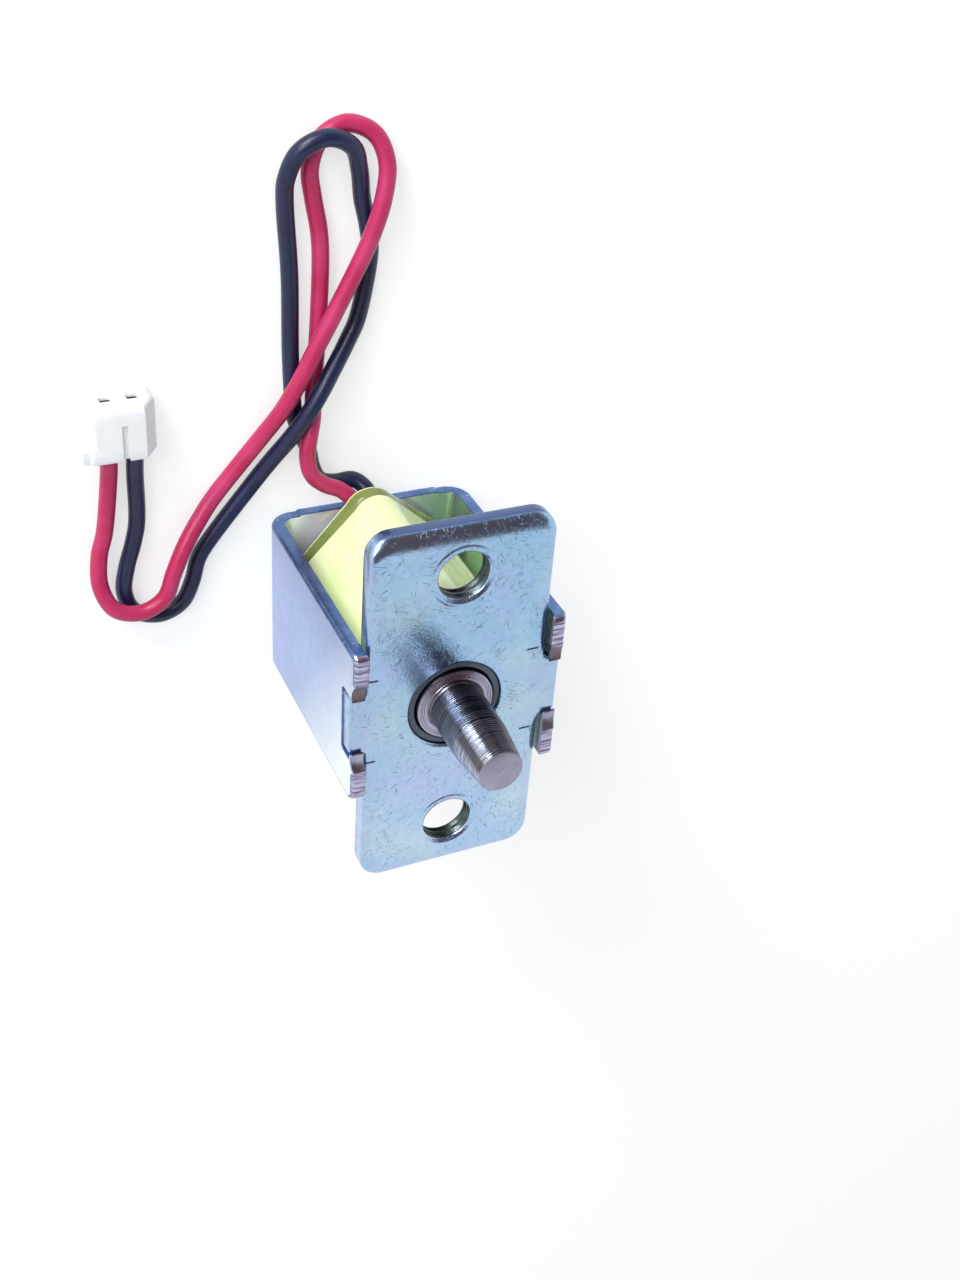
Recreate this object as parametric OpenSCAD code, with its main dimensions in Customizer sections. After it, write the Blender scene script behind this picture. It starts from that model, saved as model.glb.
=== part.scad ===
// Small open-frame pull solenoid: a bent U-frame closed by a staked front plate, a round coil in
// yellow tape, a loose stepped plunger, and two leads that end in a two-way connector.
// The plunger axis is +Z and the rear wall stands on z = 0. X runs across the plate, Y along it.

/* [Frame] */
// Depth from the rear face to the front of the plate
frame_depth = 15; // [14:0.5:20]
// Outside width across the two arms
frame_w = 13; // [11.8:0.1:15]
// Height of the arms along Y
frame_h = 10.3; // [9.5:0.1:12]
// Thickness of the frame sheet
sheet_t = 0.8; // [0.6:0.05:1.1]
// Outer radius of the two bends
bend_r = 1.5; // [1.3:0.1:2]
// Extra height of the rear wall beyond each edge of the arms
wall_rise = 0.1; // [0.05:0.05:0.5]
// How far the tabs stand in front of the plate
tab_rise = 0.5; // [0.4:0.05:1.2]

/* [Front plate] */
// Length of the plate along Y
plate_l = 24; // [23:0.5:30]
// Thickness of the plate
plate_t = 1.2; // [1:0.1:1.5]
// Radius of the plate's corners
plate_corner_r = 1.4; // [0.8:0.1:2]
// Distance between the two mounting holes
mount_pitch = 17.7; // [15:0.1:18.6]
// Diameter of the mounting holes
mount_d = 3; // [2.4:0.1:3.4]
// Height of the ear on each side of the plate
ear_h = 4.2; // [3:0.1:5]
// Radius that stamping rolls onto the front edges of the plate
edge_roll = 0.4; // [0.1:0.05:0.5]
// Radius that punching rolls onto the front rims of the holes
rim_roll = 0.15; // [0.05:0.05:0.3]

/* [Plunger] */
// Diameter of the sliding body
plunger_d = 4.75; // [4.6:0.05:5]
// Diameter of the rod
rod_d = 3.3; // [2.8:0.1:3.4]
// Diameter of the rod at its tip
rod_tip_d = 2.7; // [2:0.1:2.8]
// How far the rod stands in front of the plate
rod_l = 6.3; // [5:0.1:12]
// Length of the taper behind the tip
taper_l = 2.8; // [1:0.1:3.5]
// Radius of the hollow fillet at the foot of the rod
foot_r = 0.3; // [0.2:0.05:0.5]

/* [Coil] */
// Distance from the winding out to each side of the plate
coil_gap = 0.5; // [0.4:0.05:1.1]
// Wall of the bobbin's tube
bobbin_wall = 0.4; // [0.3:0.05:0.6]
// Thickness of the bobbin's flanges
flange_t = 0.6; // [0.4:0.05:0.9]
// Thickness of the wrapped tape
tape_t = 0.12; // [0.08:0.01:0.2]
// Height of the tape's raised rear margin above the rear face
collar_z = 2.4; // [2.1:0.1:3]
// Length of the fixed core inside the bobbin
core_l = 4; // [3:0.25:6]

/* [Leads and connector] */
// Diameter of each lead over its insulation
lead_d = 1; // [0.8:0.05:1.1]
// Distance between the two ways of the connector
way_pitch = 1.5; // [1.3:0.05:1.8]
// Width of the connector's housing
housing_w = 3.9; // [3.7:0.1:5]
// Length of the connector's housing
housing_l = 3.4; // [3.2:0.1:5]
// Height of the connector's housing
housing_h = 2.6; // [2.3:0.1:3.4]

/* [Hidden] */
$fn = 64;

// Clearances
plunger_clear = 0.08;
neck_clear = 0.02;
ear_clear = 0.03;
plate_gap = 0.2;
seat_gap = 0.1;
wrap_gap = 0.02;
wrap_slack = 0.05;
entry_clear = 0.1;
contact_clear = 0.1;

// How far a cut reaches past the solid that it opens
cut = 1;

// Frame and plate
plate_w = frame_w - 2 * (sheet_t + plate_gap);
plate_back = frame_depth - plate_t;
arm_half = frame_h / 2;
wall_top = arm_half + wall_rise;
wall_inset = 0.4;
wall_half_w = frame_w / 2 - bend_r - wall_inset;
tab_end = frame_depth + tab_rise;
tab_round = 0.5;
ear_round = 0.3;
rivet_d = 2.6;
rivet_head_d = 3.6;
rivet_head_t = 0.4;

// Stake marks that press the tabs over the ears
stake_land = 0.22;
stake_cover = 0.3;
stake_w = 1.2;

// Bobbin and coil
bore_d = plunger_d + 2 * plunger_clear;
neck_d = bore_d + 2 * bobbin_wall;
centre_hole_d = neck_d + 2 * neck_clear;
neck_recess = 0.2;
neck_end = frame_depth - neck_recess;
coil_r = plate_w / 2 - coil_gap;
flange_r = coil_r;
coil_rear = sheet_t + flange_t;
coil_front = plate_back - flange_t;
under_wrap_inset = 0.5;
under_wrap_r = coil_r + wrap_gap + tape_t;

// Plunger
core_front = sheet_t + core_l;
plunger_rear = core_front + seat_gap;
plunger_edge = 0.15;
rod_tip = frame_depth + rod_l;
foot_fillet = min(foot_r, (plunger_d - rod_d) / 2 - plunger_edge);
tip_edge = 0.12;

// Lead joints under the tape: both leads lie on the winding, side by side
pair_x = -0.55;
lead_gap = 0.04;
lead_y = under_wrap_r + lead_d / 2 + wrap_gap;
lead_x = [pair_x - (lead_d + lead_gap) / 2, pair_x + (lead_d + lead_gap) / 2];
lead_start = 6.6;
lead_turn = 4.6;
joint_d = 0.7;
joint_l = 2;
tail_d = 0.24;
tail_slack = 0.15;
tail_ramp = 4 * tail_d;
red_lean = [-0.12, 0.35];
black_lean = [-0.07, 0.12];

// Outer tape: it runs straight from the round winding to the bump over the leads
wrap_r = coil_r + wrap_gap + 2 * tape_t + wrap_slack;
wrap_setback = 0.2;
wrap_front = plate_back - wrap_setback;
bump_slack = 0.5;
bump_r = lead_d + bump_slack;
bump_lift = 0.1;
bump_y = lead_y + bump_lift;
collar_l = 0.7;
collar_front = collar_z + collar_l;
collar_flare = 0.2;
collar_r = wrap_r + collar_flare;
collar_bump_r = bump_r + collar_flare;
collar_lean = -0.2;
wrap_fn = 48;

// Connector: its wire side faces -Y
entry = [-15.2, 11.7];
way_z = housing_h / 2;
housing_round = 0.45;
entry_depth = 0.8;
entry_d = lead_d + entry_clear;
crimp_l = 0.9;
crimp_d = 0.8;
contact_w = 0.9;
contact_t = 0.15;
cavity_w = contact_w + contact_clear;
contact_setback = 0.3;
wing_w = 0.4;
wing_l = 0.9;
wing_h = 0.9;
wing_drop = 0.2;
slot_w = 0.35;
slot_l = 2.2;
slot_depth = 0.3;
// Width and height of the cut along one upper edge, which shows which way round it goes
corner_cut = [0.8, 1.1];

// Routes of the leads over the surface that the part stands on. Each point is x, the distance in y
// from the rear wall's edge, and the lift above the surface in lead diameters.
red_route = [
    [-1.5, 1.1, 1.5], [-2.25, 1.8, 1.1], [-3.3, 2.35, 1.05], [-4.1, 3.2, 1.05], [-4.35, 4.4, 1.02],
    [-4.25, 5.6, 1.07], [-3.9, 6.7, 0.62], [-3.7, 7.9, 0.12], [-3.58, 9.3, 0], [-3.4, 12.4, 0],
    [-3.3, 15.8, 0], [-3.4, 17.8, 0],
    [-3.75, 19.7, 0], [-3.95, 21.45, 0], [-3.35, 23, 0], [-1.9, 23.7, 0], [-0.4, 23.1, 0.3],
    [0.2, 21.6, 0.7], [-0.05, 19.8, 1], [-0.6, 18, 1.05], [-1.3, 16.3, 1], [-3, 13, 1.05],
    [-3.9, 11.3, 1.05], [-4.85, 9.4, 1.05], [-5.85, 7.5, 0.8], [-7, 5.6, 0.25], [-9.6, 2.3, 0],
    [-10.8, 0.8, 0.25], [-11.85, -0.6, 0.7], [-12.65, -2.15, 1], [-13.3, -3.75, 1.05], [-14.75, -4.5, 1.05],
    [-16.3, -3.95, 1], [-16.95, -2.45, 0.6], [-16.8, -0.7, 0.15], [-16.3, 1.1, 0], [-15.95, 4.7, 0.4]
];
black_route = [
    [-0.2, 0.75, 1.35], [-0.5, 1.4, 0.6], [-1.15, 1.8, 0.1], [-2.2, 1.75, 0], [-3.2, 2.1, 0], [-3.7, 3.1, 0],
    [-3.95, 4.3, 0], [-4.48, 5.6, 0], [-4.85, 7, 0], [-5.05, 10.6, 0], [-5.1, 15.4, 0], [-5.4, 19.6, 0.1],
    [-5.4, 21.3, 0.5], [-4.8, 22.75, 0.95], [-3.35, 23.4, 1.1], [-1.9, 22.75, 0.9], [-1.3, 21.3, 0.45],
    [-0.95, 19.5, 0.05], [-0.55, 17.8, 0], [-0.4, 16, 0], [-1, 12.7, 0.1], [-1.75, 11.2, 0.35],
    [-2.7, 9.85, 0.8], [-3.6, 8.6, 1.2], [-4.5, 7.25, 1.3], [-5.4, 5.8, 1], [-6.35, 4.2, 0.4],
    [-7.5, 2.5, 0.05], [-9.95, -0.6, 0], [-10.85, -2, 0], [-11.3, -3.6, 0], [-12, -5, 0],
    [-13.4, -5.6, 0], [-14.9, -5, 0], [-15.45, -3.5, 0], [-15.2, -1.8, 0], [-14.7, -0.1, 0],
    [-14.4, 1.6, 0], [-14.45, 4.7, 0.4]
];
tube_sides = 8;
// First side vector of a tube: a direction that no path starts along
tube_side = [0.31, 0.95, 0.02];

zinc = "#9fb6c9";
steel = "#6d6a70";
nylon = "#4a525c";
copper = "#b8703a";
tape = "#e6f59a";
red = "#c4214b";
black = "#20232f";
solder = "#b9bcc0";
ivory = "#f3f3f0";

// Points of a circular arc from angle a to angle b
function arc(centre, r, a, b, steps = 8) =
    [for (i = [0:steps]) centre + r * [cos(a + (b - a) * i / steps), sin(a + (b - a) * i / steps)]];

// A half outline followed by its mirror image across the second axis
function mirrored(half) =
    concat(half, [for (i = [len(half) - 1:-1:0]) [-half[i][0], half[i][1]]]);

function unit(v) = v / norm(v);

// Direction of travel at point i of a path
function heading(path, i) =
    unit(path[min(i + 1, len(path) - 1)] - path[max(i - 1, 0)]);

// The side vector n, turned as little as possible to stand square to direction t
function squared(n, t) = unit(n - (n * t) * t);

// One side vector per point of the path, carried along without twist
function side_vectors(path) =
    [for (i = 0, n = squared(tube_side, heading(path, 0));
          i < len(path);
          i = i + 1, n = squared(n, heading(path, i))) n];

// Points of one ring of a tube round each point of the path
function tube_rings(path, r) =
    let (sides = side_vectors(path))
    [for (i = [0:len(path) - 1])
        let (n = sides[i], m = cross(heading(path, i), n))
        for (k = [0:tube_sides - 1])
            path[i] + r * (cos(360 * k / tube_sides) * n + sin(360 * k / tube_sides) * m)];

// Faces of a tube of the given number of rings, with flat ends
function tube_faces(rings) =
    concat(
        [[for (k = [0:tube_sides - 1]) k]],
        [for (i = [0:rings - 2])
            for (k = [0:tube_sides - 1])
                let (a = i * tube_sides + k, b = i * tube_sides + (k + 1) % tube_sides)
                for (f = [[a, a + tube_sides, b], [b, a + tube_sides, b + tube_sides]]) f],
        [[for (k = [tube_sides - 1:-1:0]) (rings - 1) * tube_sides + k]]
    );

module tube(path, d) {
    polyhedron(tube_rings(path, d / 2), tube_faces(len(path)), convexity = 10);
}

// A route point in the part's frame
function laid(p) = [p[0], wall_top + p[1], lead_d / 2 + lead_d * p[2]];

function way_x(side) = entry[0] + side * way_pitch / 2;

// Whole path of a lead: out from under the tape, over the surface, and into its way of the housing
function lead_path(start_x, lean, route, side) = concat(
    [
        [start_x, lead_y, lead_start],
        [start_x, lead_y, lead_turn],
        [start_x + lean[0], lead_y + lean[1], collar_front]
    ],
    [for (p = route) laid(p)],
    [
        [way_x(side), entry[1], way_z],
        [way_x(side), entry[1] + entry_depth, way_z]
    ]
);

// Flat shape of a rectangle with round corners, centred
module round_rect(w, l, r) {
    square([w - 2 * r, l], center = true);
    square([w, l - 2 * r], center = true);
    for (x = [-1, 1], y = [-1, 1])
        translate([x * (w / 2 - r), y * (l / 2 - r)])
            circle(r);
}

// Half outline of an arm in Y and Z: the bend, the outer edge, the tab and its stake, and the slot
function arm_half_outline() =
    let (slot_y = ear_h / 2 + ear_clear)
    concat(
        [[arm_half, bend_r]],
        arc([arm_half - tab_round, tab_end - tab_round], tab_round, 0, 90),
        [
            [slot_y - stake_cover + stake_w, tab_end],
            [slot_y - stake_cover, frame_depth + ear_clear + stake_land],
            [slot_y - stake_cover, frame_depth + ear_clear],
            [slot_y, frame_depth + ear_clear],
            [slot_y, plate_back]
        ]
    );

module arm() {
    translate([frame_w / 2, 0, 0])
        rotate([90, 0, -90])
            linear_extrude(sheet_t)
                polygon(mirrored(arm_half_outline()));
}

// Quarter-round bend between the rear wall and one arm
module bend() {
    translate([frame_w / 2 - bend_r, arm_half, bend_r])
        rotate([90, 0, 0])
            linear_extrude(frame_h)
                intersection() {
                    difference() {
                        circle(bend_r);
                        circle(bend_r - sheet_t);
                    }
                    translate([0, -bend_r])
                        square(bend_r);
                }
}

module u_frame() {
    color(zinc)
        difference() {
            union() {
                for (side = [0, 1])
                    mirror([side, 0, 0]) {
                        arm();
                        bend();
                    }
                translate([-frame_w / 2 + bend_r, -arm_half, 0])
                    cube([frame_w - 2 * bend_r, frame_h, sheet_t]);
                translate([-wall_half_w, -wall_top, 0])
                    cube([2 * wall_half_w, 2 * wall_top, sheet_t]);
            }
            translate([0, 0, -cut])
                cylinder(d = rivet_d, h = sheet_t + 2 * cut);
            rivet_sink();
        }
}

// Countersink that the spread end of the core fills
module rivet_sink() {
    cylinder(d1 = rivet_head_d, d2 = rivet_d, h = rivet_head_t);
}

// Cross-section of a rolled edge, from a line r inside the rim out to the rim
module rolled_edge(r, roll) {
    polygon(concat([[0, 0]], arc([r - roll, 0], roll, 0, 90), [[0, roll]]));
}

// Slab whose front edges are rolled over, as stamping leaves them
module rolled_slab(w, l, r, t, roll) {
    linear_extrude(t - roll)
        round_rect(w, l, r);
    translate([0, 0, t - roll]) {
        linear_extrude(roll)
            square([w - 2 * r, l - 2 * r], center = true);
        for (x = [-1, 1], y = [-1, 1])
            translate([x * (w / 2 - r), y * (l / 2 - r), 0])
                rotate_extrude()
                    rolled_edge(r, roll);
        for (turn = [0, 180])
            rotate(turn) {
                translate([w / 2 - r, l / 2 - r, 0])
                    rotate([90, 0, 0])
                        linear_extrude(l - 2 * r)
                            rolled_edge(r, roll);
                translate([r - w / 2, l / 2 - r, 0])
                    rotate([90, 0, 90])
                        linear_extrude(w - 2 * r)
                            rolled_edge(r, roll);
            }
    }
}

// Cutter for a punched hole through the plate, with its front rim rolled over
module punched_hole(d) {
    translate([0, 0, -cut])
        cylinder(d = d, h = plate_t + 2 * cut);
    translate([0, 0, plate_t])
        rotate_extrude()
            polygon(concat(
                [[0, 0]],
                [[0, -rim_roll]],
                arc([d / 2 + rim_roll, -rim_roll], rim_roll, 180, 90)
            ));
}

module front_plate() {
    color(zinc)
        translate([0, 0, plate_back])
            difference() {
                union() {
                    rolled_slab(plate_w, plate_l, plate_corner_r, plate_t, edge_roll);
                    linear_extrude(plate_t)
                        round_rect(frame_w, ear_h, ear_round);
                }
                punched_hole(centre_hole_d);
                for (y = [-1, 1])
                    translate([0, y * mount_pitch / 2, 0])
                        punched_hole(mount_d);
            }
}

module fixed_core() {
    color(steel) {
        translate([0, 0, sheet_t])
            cylinder(d = plunger_d, h = core_l);
        cylinder(d = rivet_d, h = sheet_t);
        rivet_sink();
    }
}

module bobbin() {
    color(nylon)
        rotate_extrude()
            polygon([
                [bore_d / 2, sheet_t],
                [flange_r, sheet_t],
                [flange_r, coil_rear],
                [neck_d / 2, coil_rear],
                [neck_d / 2, coil_front],
                [flange_r, coil_front],
                [flange_r, plate_back],
                [neck_d / 2, plate_back],
                [neck_d / 2, neck_end],
                [bore_d / 2, neck_end]
            ]);
}

module coil_winding() {
    color(copper)
        translate([0, 0, coil_rear])
            difference() {
                cylinder(r = coil_r, h = coil_front - coil_rear);
                translate([0, 0, -cut])
                    cylinder(d = neck_d, h = coil_front - coil_rear + 2 * cut);
            }
}

module under_wrap() {
    color(tape)
        translate([0, 0, coil_rear + under_wrap_inset])
            difference() {
                cylinder(r = under_wrap_r, h = coil_front - coil_rear - 2 * under_wrap_inset);
                translate([0, 0, -cut])
                    cylinder(r = coil_r + wrap_gap, h = coil_front - coil_rear + 2 * cut);
            }
}

// Flat section of the tape pulled tight round the winding and the bump over the leads
module wrap_section(round_r, over_r, lean = 0) {
    hull($fn = wrap_fn) {
        circle(round_r);
        translate([pair_x + lean, bump_y])
            circle(over_r);
    }
}

// Solid inside the tape's outer face, or inside its inner face with the inset of its thickness: a
// straight sleeve whose rear margin flares
module wrap_solid(inset) {
    translate([0, 0, collar_front])
        linear_extrude(wrap_front - collar_front + inset)
            wrap_section(wrap_r - inset, bump_r - inset);
    hull() {
        translate([0, 0, collar_front])
            linear_extrude(wrap_gap)
                wrap_section(wrap_r - inset, bump_r - inset);
        translate([0, 0, collar_z - inset])
            linear_extrude(wrap_gap)
                wrap_section(collar_r - inset, collar_bump_r - inset, collar_lean);
    }
}

module outer_tape() {
    color(tape)
        difference() {
            wrap_solid(0);
            wrap_solid(tape_t);
        }
}

module plunger() {
    color(steel)
        rotate_extrude()
            polygon(concat(
                [
                    [0, plunger_rear],
                    [plunger_d / 2 - plunger_edge, plunger_rear],
                    [plunger_d / 2, plunger_rear + plunger_edge],
                    [plunger_d / 2, frame_depth - plunger_edge],
                    [plunger_d / 2 - plunger_edge, frame_depth]
                ],
                arc([rod_d / 2 + foot_fillet, frame_depth + foot_fillet], foot_fillet, 270, 180),
                [
                    [rod_d / 2, rod_tip - taper_l],
                    [rod_tip_d / 2, rod_tip - tip_edge],
                    [rod_tip_d / 2 - tip_edge, rod_tip],
                    [0, rod_tip]
                ]
            ));
}

module red_lead() {
    color(red)
        tube(lead_path(lead_x[0], red_lean, red_route, -1), lead_d);
}

module black_lead() {
    color(black)
        tube(lead_path(lead_x[1], black_lean, black_route, 1), lead_d);
}

// Soldered joint between the bared strands of a lead and the end of the winding
module joint(x) {
    color(solder)
        translate([x, lead_y, lead_start]) {
            cylinder(d = joint_d, h = joint_l - joint_d / 2);
            translate([0, 0, joint_l - joint_d / 2])
                sphere(d = joint_d);
        }
}

module red_joint() {
    joint(lead_x[0]);
}

module black_joint() {
    joint(lead_x[1]);
}

// Height of the wrapped winding's surface at x
function wrap_surface(r, x) = sqrt(r * r - x * x);

// End of the winding, from its joint over the under wrap to the wire at the front flange
module tail(x) {
    ridge = wrap_surface(under_wrap_r, x) + tail_d / 2 + tail_slack;
    joint_end = lead_start + joint_l;
    wrap_end = coil_front - under_wrap_inset;
    color(copper)
        tube([
            [x, lead_y, joint_end],
            [x, lead_y, joint_end + tail_d],
            [x, ridge, joint_end + tail_ramp],
            [x, ridge, wrap_end],
            [x, wrap_surface(coil_r, x) + tail_d / 2 + wrap_gap, coil_front - tail_d]
        ], tail_d);
}

module start_tail() {
    tail(lead_x[0]);
}

module finish_tail() {
    tail(lead_x[1]);
}

// Outer block of the housing, lying on its lower face, with the wire end at y = 0
module housing_block() {
    translate([0, housing_l, housing_h / 2])
        rotate([90, 0, 0])
            linear_extrude(housing_l)
                difference() {
                    round_rect(housing_w, housing_h, housing_round);
                    translate([housing_w / 2, housing_h / 2])
                        polygon([
                            [cut, cut],
                            [-corner_cut[0], cut],
                            [-corner_cut[0], 0],
                            [0, -corner_cut[1]],
                            [cut, -corner_cut[1]]
                        ]);
                }
    translate([-housing_w / 2 - wing_w, 0, housing_h - wing_drop - wing_h])
        cube([housing_w / 2 + wing_w, wing_l, wing_h]);
}

module connector_housing() {
    color(ivory)
        translate([entry[0], entry[1], 0])
            difference() {
                housing_block();
                translate([-slot_w / 2, -cut, housing_h - slot_depth])
                    cube([slot_w, slot_l + cut, slot_depth + cut]);
                for (side = [-1, 1])
                    translate([side * way_pitch / 2, 0, way_z]) {
                        rotate([-90, 0, 0])
                            translate([0, 0, -cut])
                                cylinder(d = entry_d, h = entry_depth + cut);
                        translate([-cavity_w / 2, entry_depth, -cavity_w / 2])
                            cube([cavity_w, housing_l, cavity_w]);
                    }
            }
}

// Crimped socket contact: a barrel on the bared strands and a square box that takes the pin
module terminal(side) {
    box_start = entry_depth + crimp_l;
    box_l = housing_l - contact_setback - box_start;
    color(copper)
        translate([way_x(side), entry[1], way_z]) {
            translate([0, entry_depth, 0])
                rotate([-90, 0, 0])
                    cylinder(d = crimp_d, h = crimp_l);
            translate([0, box_start, 0])
                difference() {
                    translate([-contact_w / 2, 0, -contact_w / 2])
                        cube([contact_w, box_l, contact_w]);
                    translate([contact_t - contact_w / 2, contact_t, contact_t - contact_w / 2])
                        cube([contact_w - 2 * contact_t, box_l, contact_w - 2 * contact_t]);
                }
        }
}

module red_terminal() {
    terminal(-1);
}

module black_terminal() {
    terminal(1);
}

u_frame();
front_plate();
fixed_core();
bobbin();
coil_winding();
under_wrap();
outer_tape();
plunger();
red_lead();
black_lead();
red_joint();
black_joint();
start_tail();
finish_tail();
connector_housing();
red_terminal();
black_terminal();
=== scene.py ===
import math
import bpy
import bmesh
from mathutils import Matrix, Vector, noise
from mathutils.geometry import tessellate_polygon


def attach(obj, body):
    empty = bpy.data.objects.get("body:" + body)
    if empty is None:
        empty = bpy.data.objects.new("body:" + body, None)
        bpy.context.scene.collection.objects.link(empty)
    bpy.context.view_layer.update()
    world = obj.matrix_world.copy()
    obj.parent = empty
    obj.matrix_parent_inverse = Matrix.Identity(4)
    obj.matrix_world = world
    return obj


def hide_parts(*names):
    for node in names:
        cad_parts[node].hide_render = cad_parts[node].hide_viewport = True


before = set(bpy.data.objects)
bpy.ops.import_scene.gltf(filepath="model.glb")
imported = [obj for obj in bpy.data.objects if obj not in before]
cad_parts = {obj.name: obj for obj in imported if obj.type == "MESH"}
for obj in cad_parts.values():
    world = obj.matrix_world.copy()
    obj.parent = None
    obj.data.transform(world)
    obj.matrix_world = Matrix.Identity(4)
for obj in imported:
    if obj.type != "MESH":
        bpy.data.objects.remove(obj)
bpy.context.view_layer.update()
scene = bpy.context.scene
scene.view_settings.view_transform = "Standard"

# One millimetre in the scene's metres: every size below is in millimetres
MM = 0.001

# Camera, from the lines and holes of the plate in the photograph
CAMERA_PLACE = Vector((-32.56, 58.543, 82.443))
CAMERA_RIGHT = Vector((0.91250831, 0.06637617, 0.40363696))
CAMERA_UP = Vector((0.18749087, 0.80912707, -0.5569206))
CAMERA_LENS = 46.59
CAMERA_SENSOR = 36

# Frame: a sheet bent to a U, with a slot and two staked tabs at the end of each arm
FRAME_DEPTH = 15
FRAME_HALF_W = 6.5
ARM_HALF = 5.15
SHEET_T = 0.8
SHEET_BREAK = 0.06
SHEET_ROLL_W = 0.24
SHEET_ROLL_D = 0.2
BEND_R = 1.5
FLAT_HALF = FRAME_HALF_W - BEND_R
CURL = BEND_R * math.pi / 2
WALL_TOP = 5.25
WALL_HALF_W = 4.6
CORE_HOLE_R = 1.3
CORE_MOUTH_R = 1.8
SLOT_GAP = 0.06
SLOT_DEPTH = 1.2
SLOT_CORNER = 0.1
SLOT_ROLL = 0.3
TAB_END = 15.5
TAB_CORNER = 0.5
TAB_LEAN = 0.15
TAB_FOOT = 0.12
LIP_OVER = 0.3
LIP_LIFT = 0.03
LIP_LAND = 0.25
LIP_BREAK = 0.04
STAKE_L = 1.2
STAKE_TOP = TAB_END - 0.03
STAKE_HOLLOW = 0.125
TEAR_COUNT = 14
TEAR_PITCH = 0.1
TEAR_DEPTH = 0.035

# Materials of the frame, in the order in which its mesh holds them
OUTSIDE, EDGE, TORN, INSIDE, STAKED = range(5)

# Plate
PLATE_HALF_W = 5.5
PLATE_HALF_L = 12
PLATE_BACK = 13.8
PLATE_CORNER = 1.4
PLATE_BREAK = 0.1
PLATE_ROLL_W = 1.2
PLATE_ROLL_D = 0.65
LEFT_ROLL = 0.3
RIGHT_ROLL = 0.5
EAR_HALF = 2.1
EAR_L = 0.95
EAR_CUT = 0.2
EAR_ROOT = 0.15
EAR_SLACK = 0.04
EAR_ROLL = 0.2
CENTRE_R = 2.875
CENTRE_BREAK = 0.08
CENTRE_ROLL_W = 0.22
CENTRE_ROLL_D = 0.18

# Tapped holes: the rim is raised by the tap, and each of its rings is a distance outwards and a lift
MOUNT_Y = 8.85
MOUNT_R = 1.5
THREAD_PITCH = 0.5
THREAD_DEPTH = 0.16
THREAD_SHARE = 0.36
THREAD_START = 0.25
THREAD_CHAMFER = 0.12
THREAD_ROUND = 0.2
THREAD_RIM = ((0.26, 0.03), (0.32, 0.045), (0.4, 0.03), (0.5, 0))

# Bobbin and winding
BORE_R = 2.455
NECK_R = 2.855
NECK_END = 14.8
NECK_ROUND = 0.08
FLANGE_R = 5
FLANGE_ROUND = 0.25
COIL_REAR = 1.4
COIL_FRONT = 13.2
WIRE_R = 0.1

# Plunger
PLUNGER_R = 2.375
PLUNGER_REAR = 4.9
PLUNGER_EDGE = 0.15
PLUNGER_PITCH = 0.3
PLUNGER_MARK = 0.01
SHOULDER_MARK = 0.025
FOOT_R = 0.3
FOOT_MARK = 0.015
ROD_R = 1.65
ROD_PITCH = 0.15
ROD_MARK = 0.011
ROD_TIP_R = 1.35
ROD_TIP = 21.3
TAPER_L = 2.8
TIP_EDGE = 0.12
TIP_PIT_R = 0.07
TIP_PIT_D = 0.05

# Tape: round part, bump over the leads, and the flared rear margin, which dips beside the bump
WRAP_R = 5.31
WRAP_FRONT = 13.6
BUMP_X = -0.55
BUMP_Y = 5.76
BUMP_R = 1.5
COLLAR_R = 5.51
COLLAR_BUMP_R = 1.7
COLLAR_LEAN = -0.2
COLLAR_Z = 2.4
COLLAR_FRONT = 3.1
COLLAR_DIP = 0.8
TAPE_T = 0.06
TAPE_CLEAR = 0.04
CREASE_D = 0.05
FINE_CREASE_D = 0.02

# Places round the tape, as shares of a turn from the bump's middle; the slant is a share per millimetre
DIP_START = 0.045
DIP_SPREAD = 0.12
SEAM_START = 0.62
SEAM_END = 0.86
SEAM_SLANT = 0.0025

# Leads: each route point is x, the distance in y from the rear wall's edge, and the lift in diameters
LEAD_D = 1
RED_START = [(-1.07, 5.66, 6.6), (-1.07, 5.66, 4.6), (-1.19, 6.01, 3.1)]
BLACK_START = [(-0.03, 5.66, 6.6), (-0.03, 5.66, 4.6), (-0.1, 5.78, 3.1)]
RED_ROUTE = [
    (-1.5, 1.1, 1.5), (-2.25, 1.8, 1.1), (-3.3, 2.35, 1.05), (-4.1, 3.2, 1.05), (-4.35, 4.4, 1.02),
    (-4.25, 5.6, 1.07), (-3.9, 6.7, 0.62), (-3.7, 7.9, 0.12), (-3.58, 9.3, 0), (-3.4, 12.4, 0),
    (-3.3, 15.8, 0), (-3.4, 17.8, 0), (-3.75, 19.7, 0), (-3.95, 21.45, 0), (-3.35, 23, 0), (-1.9, 23.7, 0),
    (-0.4, 23.1, 0.3), (0.2, 21.6, 0.7), (-0.05, 19.8, 1), (-0.6, 18, 1.05), (-1.3, 16.3, 1), (-3, 13, 1.05),
    (-3.9, 11.3, 1.05), (-4.85, 9.4, 1.05), (-5.85, 7.5, 0.8), (-7, 5.6, 0.25), (-9.6, 2.3, 0),
    (-10.8, 0.8, 0.25), (-11.85, -0.6, 0.7), (-12.65, -2.15, 1), (-13.3, -3.75, 1.05), (-14.75, -4.5, 1.05),
    (-16.3, -3.95, 1), (-16.95, -2.45, 0.6), (-16.8, -0.7, 0.15), (-16.3, 1.1, 0), (-15.95, 4.7, 0.4),
]
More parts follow.
